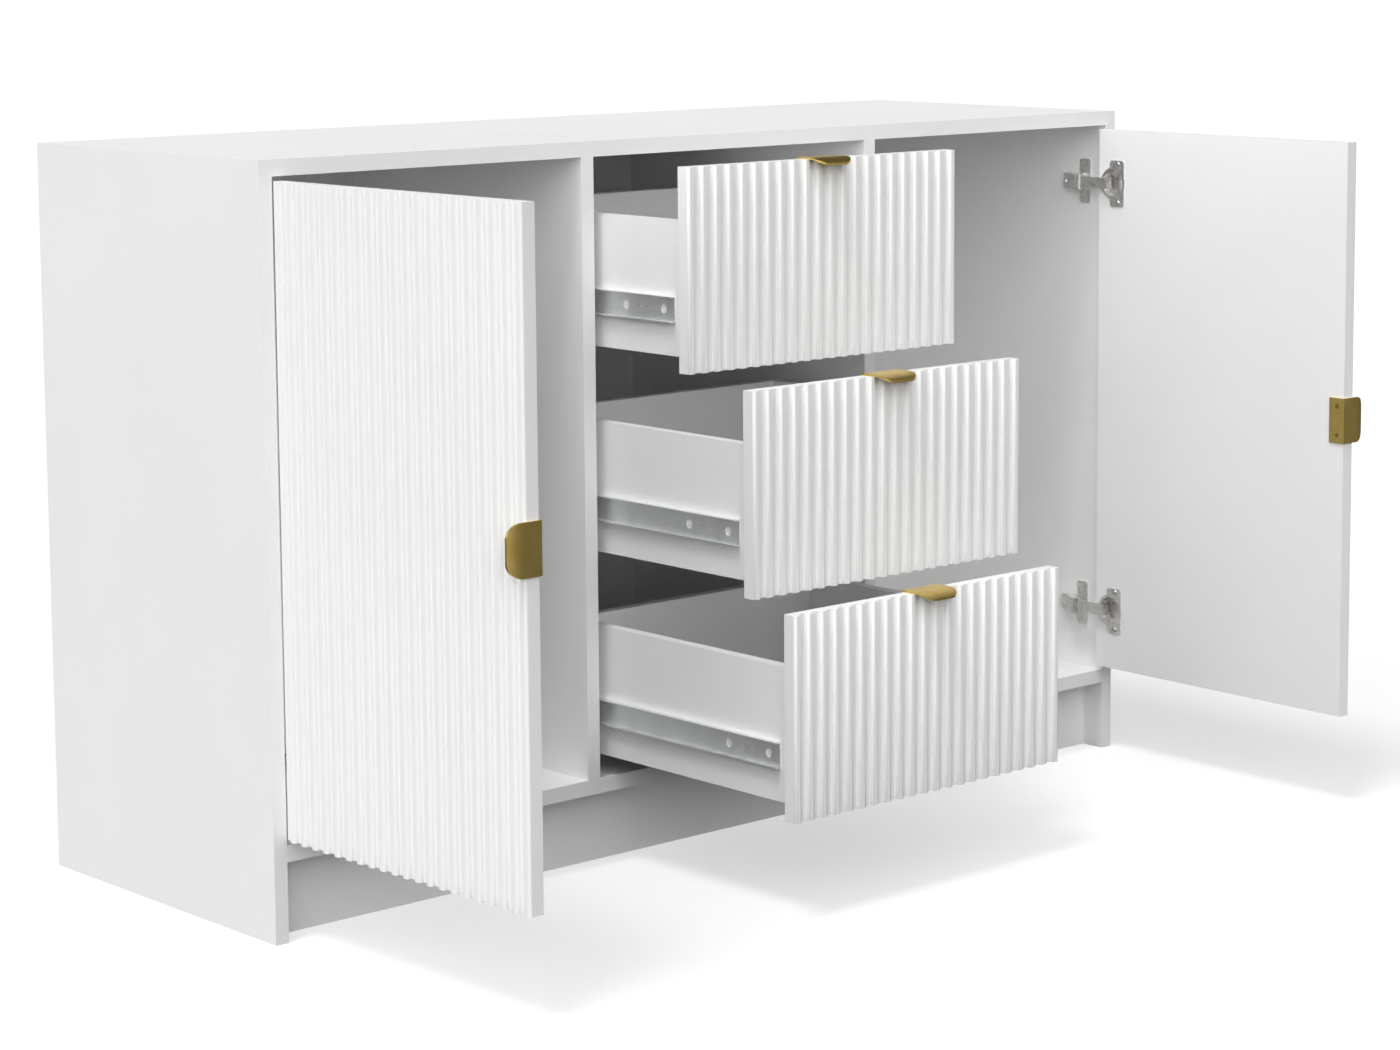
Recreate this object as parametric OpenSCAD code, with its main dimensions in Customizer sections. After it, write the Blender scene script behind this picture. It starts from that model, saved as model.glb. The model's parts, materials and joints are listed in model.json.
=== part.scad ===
// Sideboard buffet: two hinged side doors, three drawers between them, fluted fronts, edge pulls.
// Millimetres, +Z up. X runs left to right, Y runs front to back.
// The origin is the centre of the plinth board's bottom face, on the floor.

/* [Carcass] */
// Overall width
width = 1200; // [1000:10:1500]
// Overall depth of the carcass
depth = 400; // [390:5:500]
// Overall height
height = 760; // [740:5:900]
// Thickness of the top panel
top_t = 16; // [14:1:22]
// Thickness of the two side panels
side_t = 15; // [14:1:22]
// Thickness of the bottom panel, dividers and plinth board
board_t = 16; // [14:1:22]
// Thickness of the back panel
back_t = 4; // [3:1:8]
// Height of the plinth board, and of the underside of the bottom panel
plinth_h = 80; // [60:5:100]
// How far the plinth board stands behind the carcass front
plinth_setback = 30; // [20:5:60]
// Clear width of the drawer bay between the dividers
drawer_bay_w = 384; // [360:2:420]

/* [Fronts] */
// Thickness of a door or drawer front over its ribs
front_t = 16; // [15:1:20]
// Height of the ribs above the groove floors
rib_depth = 5; // [3:0.5:6]
// Radius on the two edges of a rib
rib_round = 2.8; // [1:0.1:3]
// Number of ribs on a door
door_ribs = 21; // [16:1:24]
// Number of ribs on a drawer front
drawer_ribs = 22; // [16:1:25]
// Gap beside a door or a drawer front
side_gap = 3.5; // [3:0.5:5]
// Gap between the top panel and the fronts
top_gap = 4.5; // [4:0.5:8]
// Gap between the bottom panel and the fronts
bottom_gap = 6.5; // [3:0.5:10]
// Gap between two drawer fronts
drawer_gap = 8; // [6:0.5:12]

/* [Rest pose] */
// Opening angle of the left door
left_door_open = 88.7; // [0:0.1:95]
// Opening angle of the right door
right_door_open = 88.7; // [0:0.1:95]
// How far the top drawer is pulled out
top_drawer_out = 143; // [0:1:300]
// How far the middle drawer is pulled out
middle_drawer_out = 238; // [0:1:300]
// How far the bottom drawer is pulled out
bottom_drawer_out = 296; // [0:1:300]

/* [Drawer boxes] */
// Length of a drawer box behind its front
box_len = 355; // [300:5:355]
// Height of a drawer box side
box_side_h = 137; // [110:1:140]
// Height of the box side's lower edge above the front's lower edge
box_lift = 15; // [10:1:25]
// Thickness of the box sides and the box back
box_side_t = 12; // [10:1:15]
// Thickness of the drawer bottom
box_bottom_t = 4; // [3:0.5:6]
// Height of the drawer bottom above the lower edge of the box side
box_bottom_lift = 10; // [8:1:16]

/* [Runners] */
// Width of the gap that a ball-bearing runner fills
runner_gap = 13; // [12.7:0.1:13.5]
// Length of the cabinet and drawer members
runner_len = 339; // [289:5:339]
// Length of a ball cage
cage_len = 39; // [30:1:39]
// Number of balls in each of a cage's two rows
cage_balls = 3; // [2:1:4]
// Height of the runner's centre above the lower edge of the box side
runner_lift = 47; // [30:1:60]
// Thickness of the runner steel
runner_steel = 1.2; // [1:0.1:1.4]

/* [Handles] */
// Length of an edge pull along the edge
handle_len = 50; // [42:1:60]
// Thickness of the edge pull's plate
handle_t = 2; // [1.5:0.1:2]
// Width of the flange on the back face
handle_flange_w = 19; // [15:1:24]
// How far the lip stands out in front of the front
handle_reach = 18; // [12:1:20]
// Radius of the bend of the lip
handle_bend_r = 32; // [26:1:60]
// Radius of the rounded lip corners
handle_corner_r = 14; // [6:1:16]
// Height of the door handles' centre above the floor
door_handle_z = 434; // [300:1:560]

/* [Hinges] */
// Distance of the upper hinge from the door's top edge
hinge_top_inset = 62; // [50:1:120]
// Distance of the lower hinge from the door's bottom edge
hinge_bottom_inset = 70; // [50:1:120]
// Outer radius of the hinge cup
cup_r = 17.5; // [13:0.5:17.5]
// Depth of the hinge cup
cup_depth = 9.5; // [8:0.5:9.5]

/* [Hidden] */
$fn = 48;

// Carcass planes
front_y = -(plinth_setback + board_t / 2);
rear_y = front_y + depth;
inner_x = width / 2 - side_t;
under_top_z = height - top_t;
floor_z = plinth_h + board_t;
divider_x = drawer_bay_w / 2;
panel_depth = depth - back_t;

// Fronts
bay_w = inner_x - divider_x - board_t;
door_w = bay_w - 2 * side_gap;
door_h = under_top_z - floor_z - top_gap - bottom_gap;
door_z = floor_z + bottom_gap;
hinge_x = inner_x - side_gap;
drawer_front_w = drawer_bay_w - 2 * side_gap;
drawer_front_h = (door_h - 2 * drawer_gap) / 3;
bottom_drawer_z = door_z;
middle_drawer_z = door_z + drawer_front_h + drawer_gap;
top_drawer_z = door_z + 2 * (drawer_front_h + drawer_gap);
upper_hinge_z = door_z + door_h - hinge_top_inset;
lower_hinge_z = door_z + hinge_bottom_inset;
screw_x = 16;

// Drawer boxes and runners, from the back face of the drawer front
box_outer_x = divider_x - runner_gap;
box_inner_x = box_outer_x - box_side_t;
groove_depth = 5;
groove_play = 0.1;
runner_start = 16;
runner_hole_y = [42, 55];
runner_window_y = [16.5, 75];
runner_window_r = 4.5;
runner_hole_r = 2;
cabinet_member_h = 35;
cabinet_member_w = 10;
drawer_member_h = 26.6;
drawer_member_w = 7;
ball_r = 1.45;
ball_play = 0.1;
ball_z = (cabinet_member_h / 2 - runner_steel + drawer_member_h / 2) / 2;
ball_x = 8;
cage_steel = 0.8;
cage_x = 2.1;
cage_w = 7.6;
cage_start = (runner_len - cage_len) / 2;

// Fasteners
dowel_r = 4;
dowel_play = 0.05;
dowel_short = 10;
dowel_long = 20;
dowel_ys = [front_y + 60, rear_y - 60];
handle_screw_r = 1.6;
handle_screw_head_r = 3.2;
handle_screw_len = 9;
handle_screw_drop = 8;
plate_screw_r = 2;
plate_screw_head_r = 4;
plate_screw_len = 10;
cup_screw_r = 1.6;
cup_screw_head_r = 3.4;
cup_screw_head_h = 1.4;
cup_screw_len = 8;

// Hinge, in a frame at the door's front hinge corner: x towards the free edge, y towards the back
pivot_out = 4.25;
pivot_back = 3.25;
cup_x = 5 + cup_r;
cup_play = 0.1;
flange_t = 1.2;
flange_x = 18;
flange_w = 22;
flange_h = 54;
cup_screw_x = flange_x + flange_w / 2;
cup_screw_z = 22.5;
plate_t = 2;
plate_y = 31;
plate_wing_w = 16;
plate_wing_h = 52;
plate_tail = 29;
plate_tail_h = 16;
arm_h = 18;
pin_x = 14.5;
pin_y = 25;
pin_r = 1.4;
pin_play = 0.05;
link_h = 13;
link_len = 44;
link_t = 3;
link_tip_w = 6;
link_tip_drop = 6;
link_barrel_r = 3;
link_play = 0.5;

// ---------- shared shapes ----------

module rounded_rect(w, h, r) {
    square([w - 2 * r, h], center = true);
    square([w, h - 2 * r], center = true);
    for (sx = [-1, 1], sy = [-1, 1])
        translate([sx * (w / 2 - r), sy * (h / 2 - r)]) circle(r);
}

module dowel(len) {
    cylinder(r = dowel_r, h = len);
}

module dowel_hole(len) {
    cylinder(r = dowel_r + dowel_play, h = len);
}

// Cross recess, cut from z = 0 downwards
module cross_slot(size) {
    for (turn = [0, 90])
        rotate([0, 0, turn]) cube([size, size / 4, 1.2], center = true);
}

// Countersunk screw with its head flush at z = 0 and its shank downwards
module flush_screw(head_r, shank_r, len) {
    difference() {
        union() {
            translate([0, 0, -head_r + shank_r]) cylinder(r1 = shank_r, r2 = head_r, h = head_r - shank_r);
            translate([0, 0, -len]) cylinder(r = shank_r, h = len - head_r + shank_r);
        }
        cross_slot(head_r * 1.2);
    }
}

// Hole for a flush screw, through a plate that lies under z = 0
module flush_hole(head_r, shank_r, len) {
    translate([0, 0, -head_r + shank_r]) cylinder(r1 = shank_r, r2 = head_r, h = head_r - shank_r);
    translate([0, 0, -len]) cylinder(r = shank_r, h = len);
}

// ---------- carcass ----------

module top_panel() {
    color("white") difference() {
        translate([-width / 2, front_y, under_top_z]) cube([width, depth, top_t]);
        for (x = [-1, 1] * (inner_x + side_t / 2), y = dowel_ys)
            translate([x, y, under_top_z - 1]) dowel_hole(dowel_short + 1);
        for (x = [-1, 1] * (divider_x + board_t / 2), y = dowel_ys)
            translate([x, y, under_top_z - 1]) dowel_hole(dowel_short + 1);
    }
}

module bottom_panel() {
    color("white") difference() {
        translate([-inner_x, front_y, plinth_h]) cube([2 * inner_x, panel_depth, board_t]);
        for (x = [-1, 1] * (divider_x + board_t / 2), y = dowel_ys)
            translate([x, y, floor_z - dowel_short]) dowel_hole(dowel_short + 1);
        for (side = [0, 1], y = dowel_ys)
            mirror([side, 0, 0]) translate([-inner_x - 1, y, plinth_h + board_t / 2])
                rotate([0, 90, 0]) dowel_hole(dowel_long + 1);
    }
}

// The left side panel; the right one is its mirror image
module side_panel() {
    difference() {
        translate([-width / 2, front_y, 0]) cube([side_t, depth, under_top_z]);
        for (y = dowel_ys)
            translate([-inner_x - side_t / 2, y, under_top_z - dowel_long]) dowel_hole(dowel_long + 1);
        for (y = dowel_ys)
            translate([-inner_x - dowel_short, y, plinth_h + board_t / 2])
                rotate([0, 90, 0]) dowel_hole(dowel_short + 1);
        translate([-inner_x - dowel_short, 0, plinth_h / 2]) rotate([0, 90, 0]) dowel_hole(dowel_short + 1);
        for (z = [upper_hinge_z, lower_hinge_z], dz = [-1, 1] * screw_x)
            translate([-inner_x, front_y + plate_y, z + dz])
                rotate([0, 90, 0]) translate([0, 0, -plate_screw_len])
                    cylinder(r = plate_screw_r, h = plate_screw_len + 1);
    }
}

module side_panel_left() {
    color("white") side_panel();
}

module side_panel_right() {
    color("white") mirror([1, 0, 0]) side_panel();
}

// The left divider; the right one is its mirror image
module divider() {
    difference() {
        translate([-divider_x - board_t, front_y, floor_z])
            cube([board_t, panel_depth, under_top_z - floor_z]);
        for (y = dowel_ys) {
            translate([-divider_x - board_t / 2, y, under_top_z - dowel_long]) dowel_hole(dowel_long + 1);
            translate([-divider_x - board_t / 2, y, floor_z - 1]) dowel_hole(dowel_long + 1);
        }
    }
}

module divider_left() {
    color("white") divider();
}

module divider_right() {
    color("white") mirror([1, 0, 0]) divider();
}

module back_panel() {
    color("white") translate([-inner_x, rear_y - back_t, plinth_h])
        cube([2 * inner_x, back_t, under_top_z - plinth_h]);
}

module plinth_board() {
    color("white") difference() {
        translate([-inner_x, -board_t / 2, 0]) cube([2 * inner_x, board_t, plinth_h]);
        for (side = [0, 1])
            mirror([side, 0, 0]) translate([-inner_x - 1, 0, plinth_h / 2])
                rotate([0, 90, 0]) dowel_hole(dowel_long + 1);
    }
}

module assembly_dowels() {
    dowel_len = dowel_short + dowel_long;
    color("burlywood") for (side = [0, 1]) mirror([side, 0, 0]) {
        for (y = dowel_ys) {
            translate([-inner_x - side_t / 2, y, under_top_z - dowel_long]) dowel(dowel_len);
            translate([-divider_x - board_t / 2, y, under_top_z - dowel_long]) dowel(dowel_len);
            translate([-divider_x - board_t / 2, y, floor_z - dowel_short]) dowel(dowel_len);
            translate([-inner_x - dowel_short, y, plinth_h + board_t / 2])
                rotate([0, 90, 0]) dowel(dowel_len);
        }
        translate([-inner_x - dowel_short, 0, plinth_h / 2]) rotate([0, 90, 0]) dowel(dowel_len);
    }
}

// ---------- fluted fronts ----------

// Outline of one rib, rising from y = 0 towards -y
module rib_outline(rib_w) {
    mirror([0, 1]) {
        square([rib_w, rib_depth - rib_round]);
        translate([rib_round, 0]) square([rib_w - 2 * rib_round, rib_depth]);
        for (x = [rib_round, rib_w - rib_round])
            translate([x, rib_depth - rib_round]) circle(rib_round);
    }
}

// Board with its back face at y = 0 and its ribs towards -y, from x = 0 to x = w
module fluted_board(w, h, ribs, pitch, first) {
    core_t = front_t - rib_depth;
    linear_extrude(h) {
        translate([0, -core_t]) square([w, core_t]);
        for (i = [0:ribs - 1])
            translate([first + i * pitch, -core_t]) rib_outline(pitch / 2);
    }
}

// ---------- edge pull ----------

// Frame: the board's back edge corner is the origin, the board lies at y < 0 and z < 0,
// x runs along the edge, and the lip reaches out in front of the board at y < -front_t
module handle_side() {
    lip_y = -front_t - handle_reach;
    union() {
        translate([0, -handle_flange_w]) square([handle_t, handle_flange_w + handle_t]);
        translate([-front_t, 0]) square([front_t + handle_t, handle_t]);
        intersection() {
            translate([-front_t, handle_t - handle_bend_r]) difference() {
                circle(handle_bend_r, $fn = 96);
                circle(handle_bend_r - handle_t, $fn = 96);
            }
            translate([lip_y, -handle_bend_r / 2]) square([handle_reach, handle_bend_r]);
        }
    }
}

module handle_plan() {
    tip_y = -front_t - handle_reach;
    body_end = tip_y + handle_corner_r;
    translate([-handle_len / 2, body_end]) square([handle_len, handle_t - body_end]);
    translate([-handle_len / 2 + handle_corner_r, tip_y])
        square([handle_len - 2 * handle_corner_r, handle_corner_r]);
    for (side = [-1, 1])
        translate([side * (handle_len / 2 - handle_corner_r), body_end]) circle(handle_corner_r);
}

module handle() {
    color("goldenrod") difference() {
        intersection() {
            translate([-handle_len / 2, 0, 0]) rotate([90, 0, 90]) linear_extrude(handle_len) handle_side();
            translate([0, 0, -40]) linear_extrude(60) handle_plan();
        }
        handle_screw_places() flush_hole(handle_screw_head_r, handle_screw_r, handle_t + 1);
    }
}

module handle_screw_places() {
    for (x = [-1, 1] * screw_x)
        translate([x, handle_t, -handle_screw_drop]) rotate([-90, 0, 0]) children();
}

module handle_screws() {
    handle_screw_places() flush_screw(handle_screw_head_r, handle_screw_r, handle_screw_len);
}

module handle_screw_holes() {
    handle_screw_places() translate([0, 0, -handle_screw_len])
        cylinder(r = handle_screw_r, h = handle_screw_len);
}

// ---------- doors, drawn as the left door in the hinge frame ----------

module at_door_handle() {
    translate([door_w, front_t, door_handle_z]) rotate([0, 90, 0]) children();
}

module at_cup_screws() {
    for (z = [upper_hinge_z, lower_hinge_z], dz = [-1, 1] * cup_screw_z)
        translate([cup_screw_x, front_t + flange_t, z + dz]) rotate([-90, 0, 0]) children();
}

module door_panel() {
    pitch = door_w / door_ribs;
    difference() {
        translate([0, front_t, door_z]) fluted_board(door_w, door_h, door_ribs, pitch, pitch / 2);
        for (z = [upper_hinge_z, lower_hinge_z])
            translate([cup_x, front_t - cup_depth - cup_play, z]) rotate([-90, 0, 0])
                cylinder(r = cup_r + cup_play, h = cup_depth + 1);
        at_cup_screws() translate([0, 0, -flange_t - cup_screw_len])
            cylinder(r = cup_screw_r, h = cup_screw_len);
        at_door_handle() handle_screw_holes();
    }
}

module cup_screw() {
    difference() {
        union() {
            cylinder(r = cup_screw_head_r, h = cup_screw_head_h);
            translate([0, 0, -flange_t - cup_screw_len])
                cylinder(r = cup_screw_r, h = flange_t + cup_screw_len);
        }
        translate([0, 0, cup_screw_head_h]) cross_slot(cup_screw_head_r * 1.3);
    }
}

module door_screws() {
    at_cup_screws() cup_screw();
    at_door_handle() handle_screws();
}

module hinge_cup(z) {
    wall = 1.2;
    mouth_r = cup_r - 2;
    translate([0, 0, z]) difference() {
        union() {
            translate([cup_x, front_t - cup_depth, 0]) rotate([-90, 0, 0]) cylinder(r = cup_r, h = cup_depth);
            translate([cup_x, front_t, 0]) rotate([-90, 0, 0]) cylinder(r = cup_r + 1, h = flange_t);
            translate([flange_x + flange_w / 2, front_t + flange_t, 0]) rotate([90, 0, 0])
                linear_extrude(flange_t) rounded_rect(flange_w, flange_h, 4);
        }
        translate([cup_x, front_t - cup_depth + wall, 0]) rotate([-90, 0, 0])
            cylinder(r = mouth_r, h = cup_depth + flange_t);
        for (dz = [-1, 1] * cup_screw_z)
            translate([cup_screw_x, front_t - 1, dz]) rotate([-90, 0, 0])
                cylinder(r = cup_screw_r, h = flange_t + 2);
    }
}

// ---------- hinge plates, arms and links, drawn for the left side in the hinge frame ----------

module plate_screw_places(z) {
    for (dz = [-1, 1] * screw_x)
        translate([plate_t - side_gap, plate_y, z + dz]) rotate([0, 90, 0]) children();
}

module hinge_plate(z) {
    difference() {
        translate([-side_gap, plate_y, z]) rotate([90, 0, 90]) linear_extrude(plate_t) {
            rounded_rect(plate_wing_w, plate_wing_h, 3);
            translate([plate_tail / 2, 0]) rounded_rect(plate_tail, plate_tail_h, 2);
        }
        plate_screw_places(z) flush_hole(plate_screw_head_r, plate_screw_r, plate_t + 1);
    }
}

// Side outline of the cranked arm
module arm_outline() {
    base_x = plate_t - side_gap;
    polygon([
        [base_x, 58], [6, 58], [7.5, 46], [13, 39], [18.7, 32],
        [18.7, pin_y], [10.3, pin_y], [6, 29], [base_x, 30]
    ]);
    translate([pin_x, pin_y]) circle(4.2);
}

module hinge_arm(z) {
    slot_h = link_h + 2 * link_play;
    translate([0, 0, z]) {
        difference() {
            translate([0, 0, -arm_h / 2]) linear_extrude(arm_h) arm_outline();
            translate([pin_x, pin_y, -slot_h / 2]) cylinder(r = link_barrel_r + link_play, h = slot_h);
            translate([10, 18, -slot_h / 2]) cube([12, 9.5, slot_h]);
            translate([5.2, 51.5, 0]) rotate([0, 90, 0]) cylinder(r = 3, h = 4);
        }
        translate([pin_x, pin_y, -arm_h / 2]) cylinder(r = pin_r, h = arm_h);
    }
}

// One link, with its barrel on the arm's pin, drawn with the door shut
module hinge_link(z) {
    translate([0, 0, z - link_h / 2]) difference() {
        union() {
            cylinder(r = link_barrel_r, h = link_h);
            translate([0, -link_t / 2, 0]) cube([link_len, link_t, link_h]);
            translate([link_len - link_tip_w, -link_t / 2 - link_tip_drop, 0])
                cube([link_tip_w, link_tip_drop + 1, link_h]);
        }
        translate([0, 0, -1]) cylinder(r = pin_r + pin_play, h = link_h + 2);
    }
}

module hinge_links(angle) {
    translate([pin_x, pin_y, 0]) rotate([0, 0, -angle])
        for (z = [upper_hinge_z, lower_hinge_z]) hinge_link(z);
}

// ---------- placing the doors and hinges ----------

module at_left_hinge() {
    translate([-hinge_x, front_y, 0]) children();
}

module at_right_hinge() {
    mirror([1, 0, 0]) at_left_hinge() children();
}

// Turns a door about its hinge's pivot, which lies beside the door's hinge corner
module door_swing(angle) {
    translate([-pivot_out, pivot_back, 0]) rotate([0, 0, -angle])
        translate([pivot_out, -pivot_back, 0]) children();
}

module left_door_pose() {
    at_left_hinge() door_swing(left_door_open) children();
}

module right_door_pose() {
    at_right_hinge() door_swing(right_door_open) children();
}

module hinge_plate_screws() {
    color("silver") for (z = [upper_hinge_z, lower_hinge_z]) {
        at_left_hinge() plate_screw_places(z)
            flush_screw(plate_screw_head_r, plate_screw_r, plate_t + plate_screw_len);
        at_right_hinge() plate_screw_places(z)
            flush_screw(plate_screw_head_r, plate_screw_r, plate_t + plate_screw_len);
    }
}

// ---------- drawers, drawn with the back face of the front at y = 0 ----------

module at_drawer_handle(front_z) {
    translate([0, 0, front_z + drawer_front_h]) children();
}

module drawer_front(front_z) {
    pitch = drawer_front_w / (drawer_ribs - 0.5);
    color("white") difference() {
        translate([-drawer_front_w / 2, 0, front_z])
            fluted_board(drawer_front_w, drawer_front_h, drawer_ribs, pitch, 0);
        at_drawer_handle(front_z) handle_screw_holes();
    }
}

module drawer_bottom_space(front_z, play) {
    z = front_z + box_lift + box_bottom_lift;
    x = box_inner_x + groove_depth;
    translate([-x - play, -play, z - play])
        cube([2 * (x + play), box_len - box_side_t + groove_depth + 2 * play, box_bottom_t + 2 * play]);
}

module drawer_side(front_z) {
    difference() {
        translate([-box_outer_x, 0, front_z + box_lift]) cube([box_side_t, box_len, box_side_h]);
        drawer_bottom_space(front_z, groove_play);
        for (y = runner_hole_y)
            translate([-box_outer_x - 1, runner_start + y, front_z + box_lift + runner_lift])
                rotate([0, 90, 0]) cylinder(r = runner_hole_r, h = box_side_t - 3);
    }
}

module drawer_back(front_z) {
    color("white") difference() {
        translate([-box_inner_x, box_len - box_side_t, front_z + box_lift])
            cube([2 * box_inner_x, box_side_t, box_side_h]);
        drawer_bottom_space(front_z, groove_play);
    }
}

module drawer_bottom(front_z) {
    color("white") drawer_bottom_space(front_z, 0);
}

// Moves a drawer out by its distance
module drawer_pose(out) {
    translate([0, front_y + front_t - out, 0]) children();
}

// ---------- runners ----------

// Channel of sheet steel, open towards +x, with its web against x = 0
module channel(channel_h, channel_w, len) {
    rotate([90, 0, 0]) mirror([0, 0, 1]) linear_extrude(len) difference() {
        translate([0, -channel_h / 2]) square([channel_w, channel_h]);
        translate([runner_steel, -channel_h / 2 + runner_steel])
            square([channel_w, channel_h - 2 * runner_steel]);
    }
}

module cabinet_member(z) {
    translate([-divider_x, runner_start, z]) channel(cabinet_member_h, cabinet_member_w, runner_len);
}

// A bent strip that holds two rows of balls between the cabinet member and the drawer member
module ball_cage(z) {
    translate([-divider_x, runner_start + cage_start, z]) {
        difference() {
            rotate([90, 0, 0]) mirror([0, 0, 1]) linear_extrude(cage_len)
                translate([cage_x, 0]) difference() {
                    translate([0, -ball_z - cage_steel / 2]) square([cage_w, 2 * ball_z + cage_steel]);
                    translate([cage_steel, -ball_z + cage_steel / 2])
                        square([cage_w, 2 * ball_z - cage_steel]);
                }
            at_balls() translate([0, 0, -cage_steel]) cylinder(r = ball_r + ball_play, h = 2 * cage_steel);
        }
        at_balls() sphere(ball_r);
    }
}

module at_balls() {
    step = cage_len / cage_balls;
    for (i = [0:cage_balls - 1], dz = [-1, 1] * ball_z)
        translate([ball_x, (i + 0.5) * step, dz]) children();
}

module drawer_member(z) {
    translate([-box_outer_x, runner_start, z]) difference() {
        mirror([1, 0, 0]) channel(drawer_member_h, drawer_member_w, runner_len);
        for (y = runner_hole_y)
            translate([-2, y, 0]) rotate([0, 90, 0]) cylinder(r = runner_hole_r, h = 3);
        for (y = runner_window_y)
            translate([-2, y, 0]) rotate([0, 90, 0]) cylinder(r = runner_window_r, h = 3);
    }
}

module runner_pair() {
    color("silver") {
        children();
        mirror([1, 0, 0]) children();
    }
}

function runner_z(front_z) = front_z + box_lift + runner_lift;

// ---------- nodes ----------

top_panel();
bottom_panel();
side_panel_left();
side_panel_right();
divider_left();
divider_right();
back_panel();
plinth_board();
assembly_dowels();

color("silver") at_left_hinge() hinge_plate(upper_hinge_z);  // hinge_plate_left_upper
color("silver") at_left_hinge() hinge_plate(lower_hinge_z);  // hinge_plate_left_lower
color("silver") at_right_hinge() hinge_plate(upper_hinge_z);  // hinge_plate_right_upper
color("silver") at_right_hinge() hinge_plate(lower_hinge_z);  // hinge_plate_right_lower
color("silver") at_left_hinge() hinge_arm(upper_hinge_z);  // hinge_arm_left_upper
color("silver") at_left_hinge() hinge_arm(lower_hinge_z);  // hinge_arm_left_lower
color("silver") at_right_hinge() hinge_arm(upper_hinge_z);  // hinge_arm_right_upper
color("silver") at_right_hinge() hinge_arm(lower_hinge_z);  // hinge_arm_right_lower
hinge_plate_screws();

color("white") left_door_pose() door_panel();  // door_left
left_door_pose() at_door_handle() handle();  // door_left_handle
color("silver") left_door_pose() door_screws();  // door_left_screws
color("silver") left_door_pose() hinge_cup(upper_hinge_z);  // hinge_cup_left_upper
color("silver") left_door_pose() hinge_cup(lower_hinge_z);  // hinge_cup_left_lower
color("silver") at_left_hinge() hinge_links(left_door_open);  // hinge_links_left

color("white") right_door_pose() door_panel();  // door_right
right_door_pose() at_door_handle() handle();  // door_right_handle
color("silver") right_door_pose() door_screws();  // door_right_screws
color("silver") right_door_pose() hinge_cup(upper_hinge_z);  // hinge_cup_right_upper
color("silver") right_door_pose() hinge_cup(lower_hinge_z);  // hinge_cup_right_lower
color("silver") at_right_hinge() hinge_links(right_door_open);  // hinge_links_right

// Each drawer and its runners, by name, height and distance pulled out
for (drawer = [
    ["top", top_drawer_z, top_drawer_out],
    ["middle", middle_drawer_z, middle_drawer_out],
    ["bottom", bottom_drawer_z, bottom_drawer_out]
]) {
    name = drawer[0];
    front_z = drawer[1];
    out = drawer[2];
    part = str("drawer_", name);
    runner = str("runner_", name);
    drawer_pose(out) drawer_front(front_z);
    color("white") drawer_pose(out) drawer_side(front_z);
    color("white") mirror([1, 0, 0]) drawer_pose(out) drawer_side(front_z);
    drawer_pose(out) drawer_back(front_z);
    drawer_pose(out) drawer_bottom(front_z);
    drawer_pose(out) at_drawer_handle(front_z) handle();
    color("goldenrod") drawer_pose(out) at_drawer_handle(front_z) handle_screws();
    runner_pair() drawer_pose(0) cabinet_member(runner_z(front_z));
    runner_pair() drawer_pose(out / 2) ball_cage(runner_z(front_z));
    runner_pair() drawer_pose(out) drawer_member(runner_z(front_z));
}
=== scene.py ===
"""Sideboard buffet: materials, softened edges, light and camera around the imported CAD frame."""
import json
import math
import bpy
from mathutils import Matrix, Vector

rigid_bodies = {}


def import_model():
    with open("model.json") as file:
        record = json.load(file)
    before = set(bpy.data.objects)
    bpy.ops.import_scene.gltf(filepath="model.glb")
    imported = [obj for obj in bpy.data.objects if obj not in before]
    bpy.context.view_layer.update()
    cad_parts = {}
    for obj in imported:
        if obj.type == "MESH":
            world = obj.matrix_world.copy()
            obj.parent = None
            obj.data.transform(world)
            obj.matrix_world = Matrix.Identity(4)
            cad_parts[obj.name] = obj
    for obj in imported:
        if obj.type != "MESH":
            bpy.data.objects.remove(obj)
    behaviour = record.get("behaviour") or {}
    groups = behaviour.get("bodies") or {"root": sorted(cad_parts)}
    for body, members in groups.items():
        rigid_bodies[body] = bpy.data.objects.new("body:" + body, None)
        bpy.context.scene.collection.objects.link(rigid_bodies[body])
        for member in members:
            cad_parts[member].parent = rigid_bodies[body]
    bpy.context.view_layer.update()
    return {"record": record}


for leftover in list(bpy.data.objects):
    bpy.data.objects.remove(leftover)
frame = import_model()
scene = bpy.context.scene
NODES = [s["node"] for s in frame["record"]["subparts"]]
SLOT_OF = {s["node"]: s["material_slot"] for s in frame["record"]["subparts"]}
MM = 0.001

EDGE_ROUNDING = 0.4 * MM      # bevel on the plain boards
WELD_REACH = 0.001 * MM       # corners closer than this are one corner
PULL_SCREW_HEIGHT = 0.434     # middle of the band that holds the screws of the door pulls
PULL_SCREW_REACH = 0.03       # half the height of that band
FLOOR_HALF = 60.0             # half the side of the floor
FLOOR_GLOW = 0.55             # keeps the floor white to the camera

# Camera: place in metres, turn in degrees, lens in millimetres, shift in frame widths.
CAMERA_PLACE = (-2.4336, -2.7548, 0.9715)
CAMERA_TURN = (82.917, 0.307, -42.312)
CAMERA_LENS = 88.81
CAMERA_SHIFT = (-0.0429, -0.1179)

# Each soft light lobe: the direction it comes from, the cosine at which it fades out, its strength.
SKY_LOBES = (
    ((0, -1, 0.1), 0.1, 0.68),           # in front
    ((-1, 0, 0.1), 0.1, 1.18),           # left
    ((-0.66, -0.68, 0.32), 0.5, 1.20),   # front left, higher and narrower
    ((0, 0, 1), 0.2, 0.06),              # overhead
)
BACKDROP = 1.1                           # strength of the pale band behind the object
KEY_TOWARDS = (-0.36, -0.10, 0.92)       # direction of the key light, seen from the object
KEY_STRENGTH = 1.22
KEY_ANGLE = 15                           # apparent size of the key light, in degrees


# ---------- materials ----------

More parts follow.
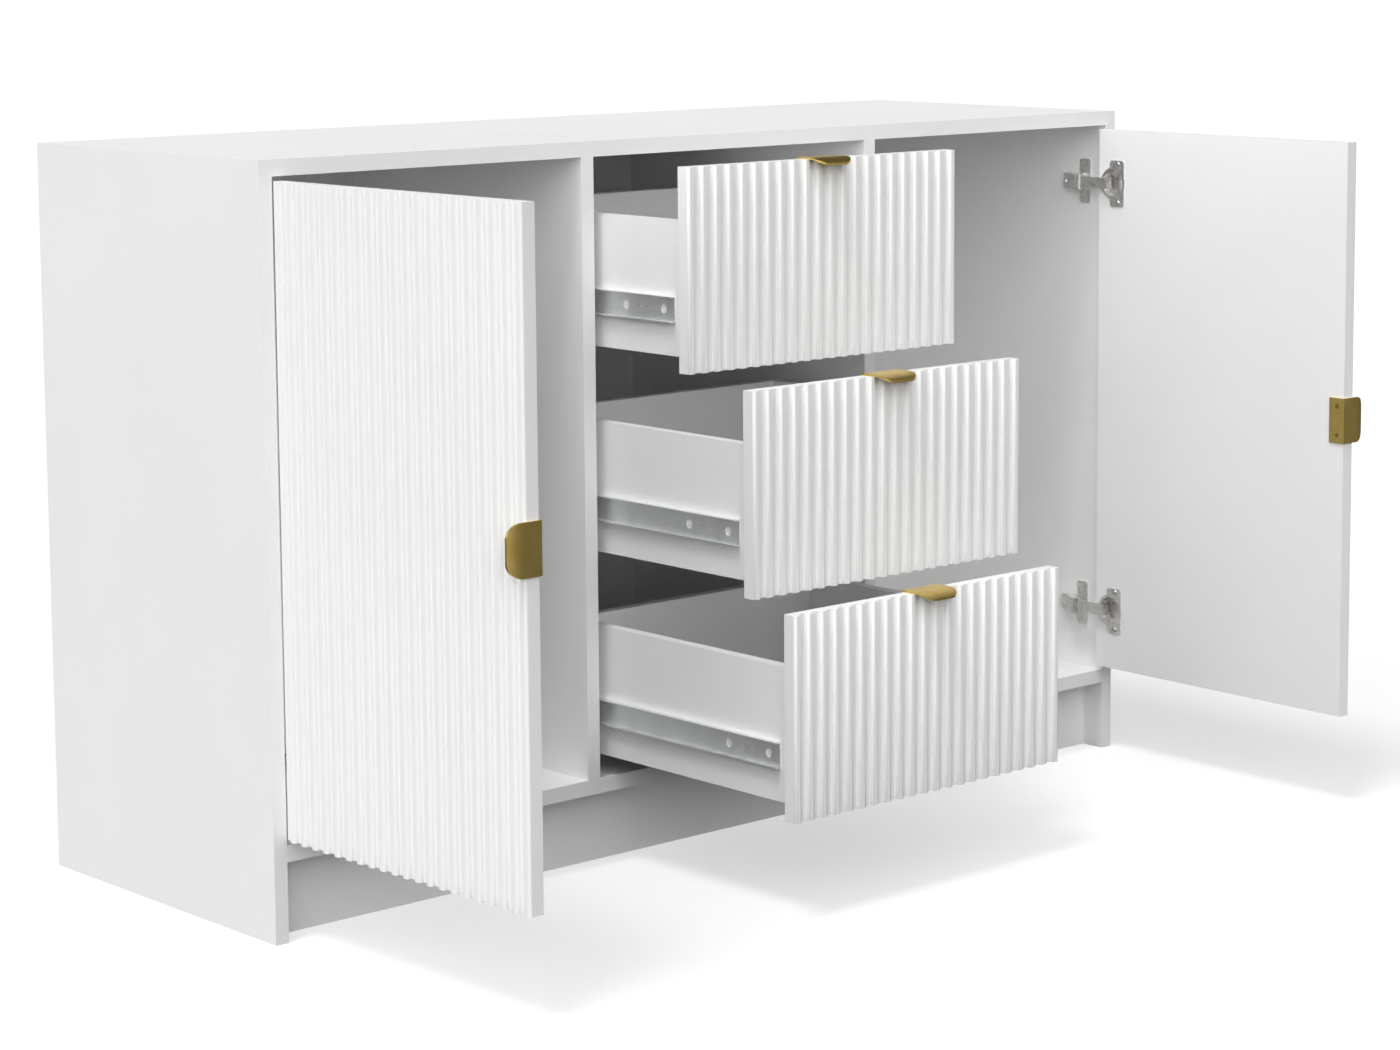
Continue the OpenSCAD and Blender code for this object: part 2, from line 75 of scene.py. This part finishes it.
class Graph:
    """A material's node tree, with one short call per node."""

    def __init__(self, name):
        self.material = bpy.data.materials.new(name)
        self.material.use_nodes = True
        self.tree = self.material.node_tree
        self.tree.nodes.clear()
        self.out = self.tree.nodes.new("ShaderNodeOutputMaterial")
        self.shader = self.tree.nodes.new("ShaderNodeBsdfPrincipled")
        self.tree.links.new(self.shader.outputs[0], self.out.inputs["Surface"])
        self.coords = self.tree.nodes.new("ShaderNodeTexCoord").outputs["Object"]

    def set(self, **values):
        for key, value in values.items():
            self.shader.inputs[key.replace("_", " ")].default_value = value

    def link(self, source, key):
        self.tree.links.new(source, self.shader.inputs[key])

    def scaled(self, scale):
        node = self.tree.nodes.new("ShaderNodeMapping")
        node.inputs["Scale"].default_value = scale
        self.tree.links.new(self.coords, node.inputs["Vector"])
        return node.outputs[0]

    def noise(self, scale, detail=2.0, rough=0.5, vector=None):
        node = self.tree.nodes.new("ShaderNodeTexNoise")
        node.inputs["Scale"].default_value = scale
        node.inputs["Detail"].default_value = detail
        node.inputs["Roughness"].default_value = rough
        self.tree.links.new(vector or self.coords, node.inputs["Vector"])
        return node.outputs["Fac"]

    def ramp(self, source, low, high, start=0.3, end=0.7):
        node = self.tree.nodes.new("ShaderNodeValToRGB")
        for element, where, colour in zip(node.color_ramp.elements, (start, end), (low, high)):
            element.position = where
            element.color = (*colour, 1.0) if not isinstance(colour, float) else (colour,) * 3 + (1.0,)
        self.tree.links.new(source, node.inputs["Fac"])
        return node.outputs["Color"]

    def add(self, a, b, share=0.5):
        node = self.tree.nodes.new("ShaderNodeMix")
        node.data_type = "FLOAT"
        node.inputs[0].default_value = share
        self.tree.links.new(a, node.inputs[2])
        self.tree.links.new(b, node.inputs[3])
        return node.outputs[0]

    def bump(self, height, distance, strength=1.0):
        node = self.tree.nodes.new("ShaderNodeBump")
        node.inputs["Distance"].default_value = distance
        node.inputs["Strength"].default_value = strength
        self.tree.links.new(height, node.inputs["Height"])
        self.link(node.outputs[0], "Normal")


def lacquer(name, low, high):
    """Matt white lacquer: faint cloudiness, an uneven sheen and very shallow upright ripples."""
    g = Graph(name)
    g.link(g.ramp(g.noise(5.0, 3.0), low, high), "Base Color")
    g.link(g.ramp(g.noise(38.0, 3.0), 0.42, 0.54), "Roughness")
    g.bump(g.noise(1.0, 2.0, 0.5, g.scaled((140.0, 140.0, 5.0))), 0.00002, 0.3)
    g.set(IOR=1.45)
    return g.material


def thin_board(name):
    """Painted hardboard: flatter sheen and a slight fibre texture."""
    g = Graph(name)
    g.link(g.ramp(g.noise(9.0, 4.0), (0.86, 0.86, 0.857), (0.90, 0.90, 0.897)), "Base Color")
    g.link(g.ramp(g.noise(60.0, 3.0), 0.55, 0.68), "Roughness")
    g.bump(g.noise(900.0, 3.0, 0.6), 0.0001, 0.7)
    return g.material


def brushed_gold(name):
    """Satin brass colour with fine brush lines along the pull and a soft variation of tone."""
    g = Graph(name)
    lines = g.noise(1.0, 2.0, 0.6, g.scaled((260.0, 5200.0, 5200.0)))
    cloud = g.noise(55.0, 2.0)
    g.link(g.ramp(g.add(lines, cloud, 0.6), (0.68, 0.475, 0.115), (0.82, 0.62, 0.21)), "Base Color")
    g.link(g.ramp(lines, 0.34, 0.46), "Roughness")
    g.bump(lines, 0.00003, 0.5)
    g.set(Metallic=1.0)
    return g.material


def nickel(name):
    """Bright nickel plate with light handling marks."""
    g = Graph(name)
    g.link(g.ramp(g.noise(140.0, 3.0), (0.80, 0.79, 0.77), (0.92, 0.91, 0.89)), "Base Color")
    g.link(g.ramp(g.noise(420.0, 3.0), 0.24, 0.38), "Roughness")
    g.bump(g.noise(900.0, 2.0), 0.00004, 0.5)
    g.set(Metallic=1.0)
    return g.material


def zinc(name):
    """Rolled zinc-plated steel: lengthways drawing lines and a cloudy sheen."""
    g = Graph(name)
    lines = g.noise(1.0, 2.0, 0.6, g.scaled((2600.0, 30.0, 2600.0)))
    cloud = g.noise(45.0, 3.0)
    g.link(g.ramp(g.add(lines, cloud, 0.5), (0.80, 0.81, 0.82), (0.90, 0.91, 0.92)), "Base Color")
    g.link(g.ramp(cloud, 0.44, 0.56), "Roughness")
    g.bump(lines, 0.00003, 0.5)
    g.set(Metallic=1.0)
    return g.material


def beech(name):
    """Plain beech, with grain along the dowels."""
    g = Graph(name)
    grain = g.noise(1.0, 4.0, 0.6, g.scaled((900.0, 900.0, 60.0)))
    g.link(g.ramp(grain, (0.52, 0.34, 0.18), (0.68, 0.49, 0.29)), "Base Color")
    g.set(Roughness=0.6)
    g.bump(grain, 0.0001, 0.5)
    return g.material


def door_screw_metal(name):
    """Nickel screws at the hinge cups, gold screws in the band of height where the pulls are."""
    g = Graph(name)
    axes = g.tree.nodes.new("ShaderNodeSeparateXYZ")
    g.tree.links.new(g.tree.nodes.new("ShaderNodeNewGeometry").outputs["Position"], axes.inputs[0])
    in_band = g.tree.nodes.new("ShaderNodeMath")
    in_band.operation = "COMPARE"
    in_band.inputs[1].default_value = PULL_SCREW_HEIGHT
    in_band.inputs[2].default_value = PULL_SCREW_REACH
    g.tree.links.new(axes.outputs["Z"], in_band.inputs[0])
    cloud = g.noise(300.0, 2.0)
    mix = g.tree.nodes.new("ShaderNodeMix")
    mix.data_type = "RGBA"
    g.tree.links.new(in_band.outputs[0], mix.inputs[0])
    g.tree.links.new(g.ramp(cloud, (0.62, 0.61, 0.59), (0.76, 0.75, 0.73)), mix.inputs[6])
    g.tree.links.new(g.ramp(cloud, (0.50, 0.36, 0.11), (0.64, 0.47, 0.17)), mix.inputs[7])
    g.link(mix.outputs[2], "Base Color")
    g.link(g.ramp(cloud, 0.20, 0.34), "Roughness")
    g.set(Metallic=1.0)
    return g.material


LOOKS = {
    "white_board": lacquer("white_lacquer", (0.915, 0.915, 0.912), (0.940, 0.940, 0.937)),
    "thin_board": thin_board("painted_hardboard"),
    "gold": brushed_gold("brushed_gold"),
    "nickel": nickel("nickel_plate"),
    "zinc_steel": zinc("zinc_plate"),
    "dowel_beech": beech("beech"),
}
for node in NODES:
    for material_slot in bpy.data.objects[node].material_slots:
        material_slot.material = LOOKS[SLOT_OF[node]]
screw_metal = door_screw_metal("door_screw_metal")
for node in ("door_left_screws", "door_right_screws"):
    for material_slot in bpy.data.objects[node].material_slots:
        material_slot.material = screw_metal


# ---------- softened edges on the boards that have no small holes ----------

def soften(node, width, angle=40):
    """Round the sharp edges of a CAD board with modifiers. Its own mesh stays as it is."""
    obj = bpy.data.objects[node]
    weld = obj.modifiers.new("weld", "WELD")
    weld.merge_threshold = WELD_REACH
    bevel = obj.modifiers.new("bevel", "BEVEL")
    bevel.width = width
    bevel.segments = 2
    bevel.limit_method = "ANGLE"
    bevel.angle_limit = math.radians(angle)
    bevel.use_clamp_overlap = True
    bevel.harden_normals = True


PLAIN_BOARDS = (
    "top_panel", "bottom_panel", "divider_left", "divider_right", "plinth_board", "back_panel",
)
for node in NODES:
    if node in PLAIN_BOARDS or (node.startswith("drawer_") and node.endswith(("_back", "_front"))):
        soften(node, EDGE_ROUNDING)


# ---------- floor, light and camera ----------

def make_floor():
    """Plain pale floor, hidden from diffuse and glossy rays, so it doesn't light the object."""
    mesh = bpy.data.meshes.new("floor")
    corners = [(x * FLOOR_HALF, y * FLOOR_HALF, 0) for x, y in ((-1, -1), (1, -1), (1, 1), (-1, 1))]
    mesh.from_pydata(corners, [], [(0, 1, 2, 3)])
    floor = bpy.data.objects.new("floor", mesh)
    scene.collection.objects.link(floor)
    g = Graph("studio_floor")
    g.link(g.ramp(g.noise(0.8, 2.0), (0.50, 0.50, 0.50), (0.52, 0.52, 0.52)), "Base Color")
    g.set(Roughness=0.9, Specular_IOR_Level=0.0)
    g.set(Emission_Color=(1.0, 1.0, 1.0, 1.0), Emission_Strength=FLOOR_GLOW)
    mesh.materials.append(g.material)
    floor.visible_diffuse = False
    floor.visible_glossy = False


def make_world(lobes, backdrop):
    """Soft studio sky: broad lobes of light by direction, and a pale backdrop near the horizon."""
    world = bpy.data.worlds.new("studio")
    scene.world = world
    world.use_nodes = True
    tree = world.node_tree
    direction = tree.nodes.new("ShaderNodeTexCoord").outputs["Generated"]

    def along(axis):
        node = tree.nodes.new("ShaderNodeVectorMath")
        node.operation = "DOT_PRODUCT"
        node.inputs[1].default_value = axis
        tree.links.new(direction, node.inputs[0])
        return node.outputs["Value"]

    def soft(source, start, end, peak=1.0):
        node = tree.nodes.new("ShaderNodeMapRange")
        node.interpolation_type = "SMOOTHSTEP"
        for key, value in zip(("From Min", "From Max", "To Min", "To Max"), (start, end, 0.0, peak)):
            node.inputs[key].default_value = value
        tree.links.new(source, node.inputs["Value"])
        return node.outputs["Result"]

    def join(operation, a, b):
        node = tree.nodes.new("ShaderNodeMath")
        node.operation = operation
        tree.links.new(a, node.inputs[0])
        tree.links.new(b, node.inputs[1])
        return node.outputs[0]

    behind = soft(along((0.7, 0.7, 0)), -0.3, 0.3)
    near_horizon = soft(along((0, 0, -1)), -0.35, -0.15, backdrop)
    total = join("MULTIPLY", behind, near_horizon)
    for axis, start, peak in lobes:
        total = join("ADD", total, soft(along(axis), start, 1.0, peak))
    above_horizon = soft(along((0, 0, 1)), -0.02, 0.02)
    total = join("MULTIPLY", total, above_horizon)
    tree.links.new(total, tree.nodes["Background"].inputs["Strength"])
    tree.nodes["Background"].inputs["Color"].default_value = (1.0, 1.0, 1.0, 1.0)


def make_sun(name, towards, strength, angle):
    """A distant light that comes from the direction given by towards."""
    data = bpy.data.lights.new(name, "SUN")
    data.energy = strength
    data.angle = math.radians(angle)
    sun = bpy.data.objects.new(name, data)
    sun.rotation_euler = Vector(towards).to_track_quat("Z", "Y").to_euler()
    scene.collection.objects.link(sun)


def make_camera():
    """The camera, at the photograph's viewing angle."""
    data = bpy.data.cameras.new("camera")
    data.lens = CAMERA_LENS
    data.sensor_width = 36.0
    data.shift_x, data.shift_y = CAMERA_SHIFT
    data.clip_end = 200.0
    camera = bpy.data.objects.new("camera", data)
    camera.location = CAMERA_PLACE
    camera.rotation_euler = [math.radians(a) for a in CAMERA_TURN]
    scene.collection.objects.link(camera)
    scene.camera = camera


make_floor()
make_world(SKY_LOBES, BACKDROP)
make_sun("key", KEY_TOWARDS, KEY_STRENGTH, KEY_ANGLE)
make_camera()
scene.view_settings.view_transform = "Standard"

bpy.context.view_layer.update()
